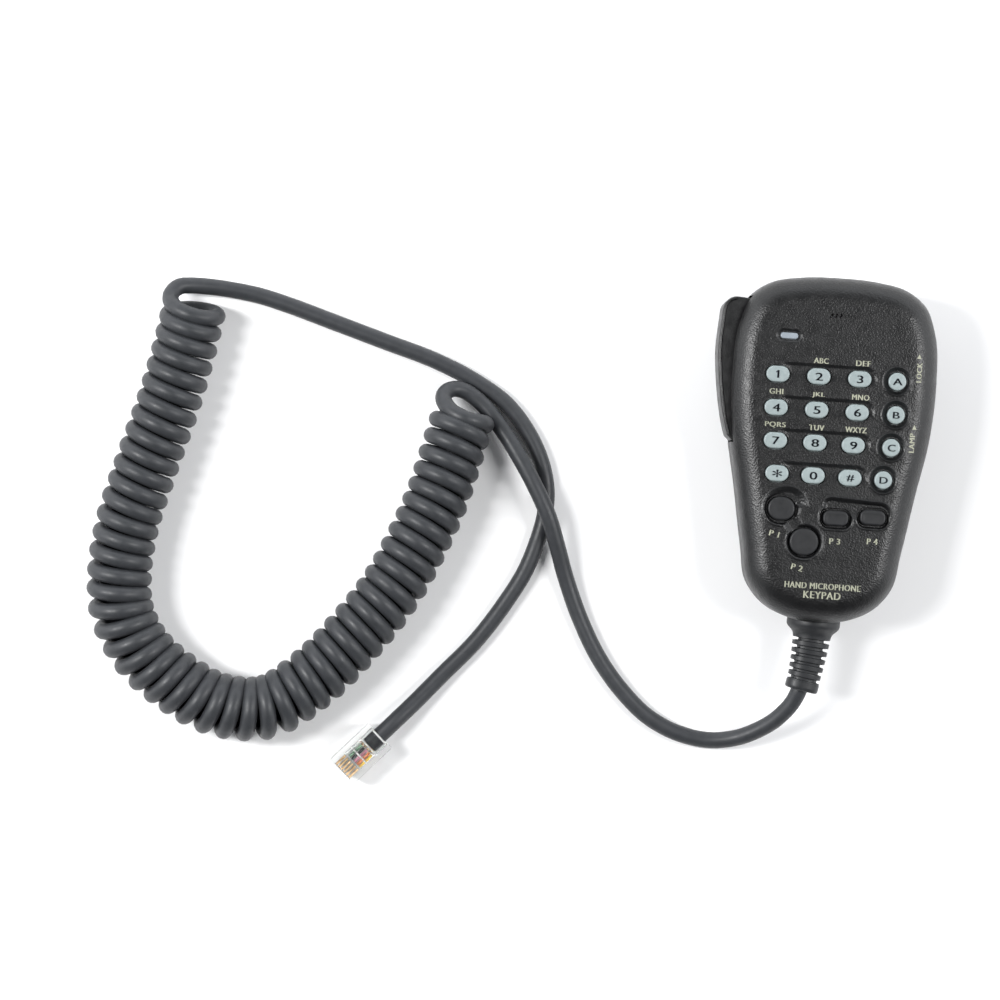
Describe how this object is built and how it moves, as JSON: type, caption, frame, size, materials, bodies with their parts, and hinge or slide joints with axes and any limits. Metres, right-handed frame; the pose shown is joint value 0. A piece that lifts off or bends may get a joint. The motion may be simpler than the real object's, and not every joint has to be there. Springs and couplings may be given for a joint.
{
  "type": "hand microphone",
  "caption": "Hand-held radio microphone with a sixteen-key pad, four program buttons, a side talk lever, a coiled cord and a clear modular plug.",
  "frame": {"origin": "centre of the flat outer face of the hanger button on the back of the case", "axes": "+Z out of the keypad face, +Y towards the handset's top end, +X towards its right-hand side"},
  "size_m": [0.231, 0.1488, 0.0309],
  "materials": {
    "case_plastic": "fine leather-like moulded grain",
    "lever_plastic": "fine moulded grain",
    "key_plastic": "smooth satin, pale grey-blue",
    "button_rubber": "smooth satin",
    "window_plastic": "milky diffuser",
    "cord_rubber": "satin cord jacket",
    "plug_clear": "clear polycarbonate",
    "gold_contact": "gold plated",
    "screw_steel": "bright plated steel",
    "board_laminate": "green solder mask",
    "mat_rubber": "matt silicone",
    "chip_epoxy": "matt epoxy",
    "header_nylon": "natural nylon",
    "capsule_aluminium": "plain aluminium",
    "led_resin": "tinted resin"
  },
  "bodies": {
    "handset": {"front_shell": "case_plastic", "rear_cover": "case_plastic", "led_window": "window_plastic", "strain_relief": "cord_rubber", "cord_lead": "cord_rubber", "cord_coil": "cord_rubber", "cord_tail": "cord_rubber", "plug_body": "plug_clear", "plug_contact_1": "gold_contact", "plug_contact_2": "gold_contact", "plug_contact_3": "gold_contact", "plug_contact_4": "gold_contact", "plug_contact_5": "gold_contact", "plug_contact_6": "gold_contact", "case_screw_1": "screw_steel", "case_screw_2": "screw_steel", "case_screw_3": "screw_steel", "hanger_button": "screw_steel", "hanger_nut": "screw_steel", "ptt_pin": "screw_steel", "ptt_spring": "screw_steel", "cord_clamp": "screw_steel", "circuit_board": "board_laminate", "keypad_mat": "mat_rubber", "mic_boot": "mat_rubber", "control_chip": "chip_epoxy", "ptt_switch": "chip_epoxy", "up_switch": "chip_epoxy", "down_switch": "chip_epoxy", "cord_header": "header_nylon", "mic_capsule": "capsule_aluminium", "lock_switch": "capsule_aluminium", "lamp_switch": "capsule_aluminium", "status_led": "led_resin"},
    "key_1": {"key_1": "key_plastic"},
    "key_2": {"key_2": "key_plastic"},
    "key_3": {"key_3": "key_plastic"},
    "key_a": {"key_a": "key_plastic"},
    "key_4": {"key_4": "key_plastic"},
    "key_5": {"key_5": "key_plastic"},
    "key_6": {"key_6": "key_plastic"},
    "key_b": {"key_b": "key_plastic"},
    "key_7": {"key_7": "key_plastic"},
    "key_8": {"key_8": "key_plastic"},
    "key_9": {"key_9": "key_plastic"},
    "key_c": {"key_c": "key_plastic"},
    "key_star": {"key_star": "key_plastic"},
    "key_0": {"key_0": "key_plastic"},
    "key_hash": {"key_hash": "key_plastic"},
    "key_d": {"key_d": "key_plastic"},
    "button_p1": {"button_p1": "button_rubber"},
    "button_p2": {"button_p2": "button_rubber"},
    "button_p3": {"button_p3": "button_rubber"},
    "button_p4": {"button_p4": "button_rubber"},
    "button_up": {"button_up": "button_rubber"},
    "button_down": {"button_down": "button_rubber"},
    "lock_slider": {"lock_slider": "button_rubber"},
    "lamp_slider": {"lamp_slider": "button_rubber"},
    "ptt_lever": {"ptt_lever": "lever_plastic"},
    "plug_latch": {"plug_latch": "plug_clear"}
  },
  "joints": [
    {"name": "ptt_press", "type": "hinge", "parent": "handset", "child": "ptt_lever", "pos_m": [-0.0244, -0.0062, 0.0168], "axis": [0, 0, -1], "range_deg": [0, 3], "stiffness_Nm_per_rad": 1.2, "springref_deg": -2.01},
    {"name": "key_1_press", "type": "slide", "parent": "handset", "child": "key_1", "axis": [0, 0, -1], "range_m": [0, 0.0008], "stiffness_N_per_m": 900, "springref_m": -0.0006},
    {"name": "key_2_press", "type": "slide", "parent": "handset", "child": "key_2", "axis": [0, 0, -1], "range_m": [0, 0.0008], "stiffness_N_per_m": 900, "springref_m": -0.0006},
    {"name": "key_3_press", "type": "slide", "parent": "handset", "child": "key_3", "axis": [0, 0, -1], "range_m": [0, 0.0008], "stiffness_N_per_m": 900, "springref_m": -0.0006},
    {"name": "key_a_press", "type": "slide", "parent": "handset", "child": "key_a", "axis": [0, 0, -1], "range_m": [0, 0.0008], "stiffness_N_per_m": 900, "springref_m": -0.0006},
    {"name": "key_4_press", "type": "slide", "parent": "handset", "child": "key_4", "axis": [0, 0, -1], "range_m": [0, 0.0008], "stiffness_N_per_m": 900, "springref_m": -0.0006},
    {"name": "key_5_press", "type": "slide", "parent": "handset", "child": "key_5", "axis": [0, 0, -1], "range_m": [0, 0.0008], "stiffness_N_per_m": 900, "springref_m": -0.0006},
    {"name": "key_6_press", "type": "slide", "parent": "handset", "child": "key_6", "axis": [0, 0, -1], "range_m": [0, 0.0008], "stiffness_N_per_m": 900, "springref_m": -0.0006},
    {"name": "key_b_press", "type": "slide", "parent": "handset", "child": "key_b", "axis": [0, 0, -1], "range_m": [0, 0.0008], "stiffness_N_per_m": 900, "springref_m": -0.0006},
    {"name": "key_7_press", "type": "slide", "parent": "handset", "child": "key_7", "axis": [0, 0, -1], "range_m": [0, 0.0008], "stiffness_N_per_m": 900, "springref_m": -0.0006},
    {"name": "key_8_press", "type": "slide", "parent": "handset", "child": "key_8", "axis": [0, 0, -1], "range_m": [0, 0.0008], "stiffness_N_per_m": 900, "springref_m": -0.0006},
    {"name": "key_9_press", "type": "slide", "parent": "handset", "child": "key_9", "axis": [0, 0, -1], "range_m": [0, 0.0008], "stiffness_N_per_m": 900, "springref_m": -0.0006},
    {"name": "key_c_press", "type": "slide", "parent": "handset", "child": "key_c", "axis": [0, 0, -1], "range_m": [0, 0.0008], "stiffness_N_per_m": 900, "springref_m": -0.0006},
    {"name": "key_star_press", "type": "slide", "parent": "handset", "child": "key_star", "axis": [0, 0, -1], "range_m": [0, 0.0008], "stiffness_N_per_m": 900, "springref_m": -0.0006},
    {"name": "key_0_press", "type": "slide", "parent": "handset", "child": "key_0", "axis": [0, 0, -1], "range_m": [0, 0.0008], "stiffness_N_per_m": 900, "springref_m": -0.0006},
    {"name": "key_hash_press", "type": "slide", "parent": "handset", "child": "key_hash", "axis": [0, 0, -1], "range_m": [0, 0.0008], "stiffness_N_per_m": 900, "springref_m": -0.0006},
    {"name": "key_d_press", "type": "slide", "parent": "handset", "child": "key_d", "axis": [0, 0, -1], "range_m": [0, 0.0008], "stiffness_N_per_m": 900, "springref_m": -0.0006},
    {"name": "button_p1_press", "type": "slide", "parent": "handset", "child": "button_p1", "axis": [0, 0, -1], "range_m": [0, 0.0008], "stiffness_N_per_m": 900, "springref_m": -0.0006},
    {"name": "button_p2_press", "type": "slide", "parent": "handset", "child": "button_p2", "axis": [0, 0, -1], "range_m": [0, 0.0008], "stiffness_N_per_m": 900, "springref_m": -0.0006},
    {"name": "button_p3_press", "type": "slide", "parent": "handset", "child": "button_p3", "axis": [0, 0, -1], "range_m": [0, 0.0008], "stiffness_N_per_m": 900, "springref_m": -0.0006},
    {"name": "button_p4_press", "type": "slide", "parent": "handset", "child": "button_p4", "axis": [0, 0, -1], "range_m": [0, 0.0008], "stiffness_N_per_m": 900, "springref_m": -0.0006},
    {"name": "button_up_press", "type": "slide", "parent": "handset", "child": "button_up", "axis": [0, -1, 0], "range_m": [0, 0.0006], "stiffness_N_per_m": 900, "springref_m": -0.0006},
    {"name": "button_down_press", "type": "slide", "parent": "handset", "child": "button_down", "axis": [0, -1, 0], "range_m": [0, 0.0006], "stiffness_N_per_m": 900, "springref_m": -0.0006},
    {"name": "lock_slider_move", "type": "slide", "parent": "handset", "child": "lock_slider", "axis": [0, 1, 0], "range_m": [0, 0.0025]},
    {"name": "lamp_slider_move", "type": "slide", "parent": "handset", "child": "lamp_slider", "axis": [0, 1, 0], "range_m": [0, 0.0025]},
    {"name": "plug_latch_press", "type": "hinge", "parent": "handset", "child": "plug_latch", "pos_m": [-0.12789, -0.10851, 0.0021], "axis": [0.7325, -0.6807, 0], "range_deg": [0, 5], "stiffness_Nm_per_rad": 0.6, "springref_deg": -2.86}
  ]
}
